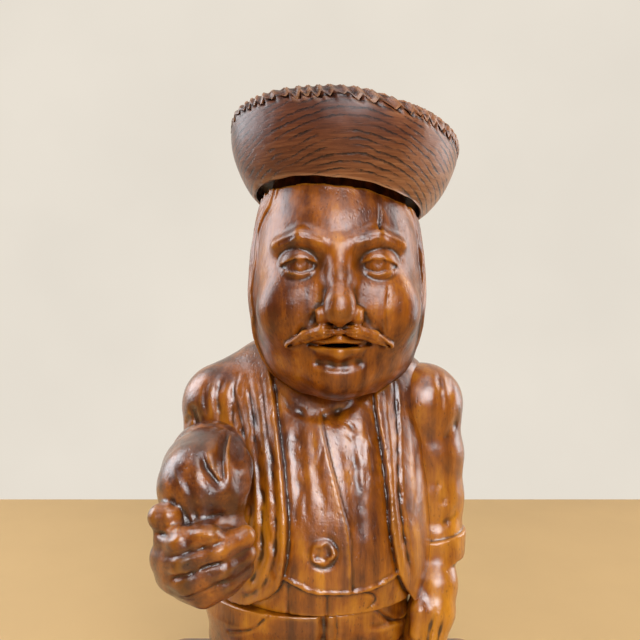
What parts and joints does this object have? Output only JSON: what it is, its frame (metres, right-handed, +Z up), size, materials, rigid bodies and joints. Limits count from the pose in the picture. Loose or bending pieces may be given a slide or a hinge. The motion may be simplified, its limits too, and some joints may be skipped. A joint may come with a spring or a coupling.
{
  "type": "incense smoker figure",
  "caption": "Carved wooden incense smoker: a stout standing figure whose hollow upper half lifts off over an incense tray and whose hat turns and lifts off a peg.",
  "frame": {"origin": "middle of the plinth's underside, on the surface that the figure stands on", "axes": "+Z up, the figure faces -Y, its left hand is at +X"},
  "size_m": [0.13, 0.1059, 0.2341],
  "materials": {
    "stained_wood": "gloss varnish over dark stain",
    "hat_wood": "satin stained ring porous wood",
    "bare_wood": "turned, unfinished",
    "tin": "spun tin plate",
    "brass": "plain tack heads",
    "steel": "plain countersunk screws"
  },
  "bodies": {
    "lower_half": {"plinth": "stained_wood", "plinth_screws": "steel", "right_shoe": "stained_wood", "left_shoe": "stained_wood", "breeches": "stained_wood", "waist_collar": "bare_wood", "incense_tray": "tin", "tray_tacks": "brass", "locating_pin": "bare_wood"},
    "upper_half": {"torso": "stained_wood", "left_arm": "stained_wood", "right_forearm": "stained_wood", "arm_dowels": "bare_wood", "neck_tube": "bare_wood", "head": "stained_wood"},
    "hat_peg": {"hat_peg": "bare_wood"},
    "hat": {"hat": "hat_wood"}
  },
  "joints": [
    {"name": "upper_lift", "type": "slide", "parent": "lower_half", "child": "upper_half", "axis": [0, 0, 1], "range_m": [0, 0.07]},
    {"name": "hat_turn", "type": "hinge", "parent": "upper_half", "child": "hat_peg", "pos_m": [0.0058, -0.006, 0.2032], "axis": [0.1219, 0.1604, 0.9795], "continuous": true},
    {"name": "hat_lift", "type": "slide", "parent": "hat_peg", "child": "hat", "axis": [0.1219, 0.1604, 0.9795], "range_m": [0, 0.035]}
  ]
}
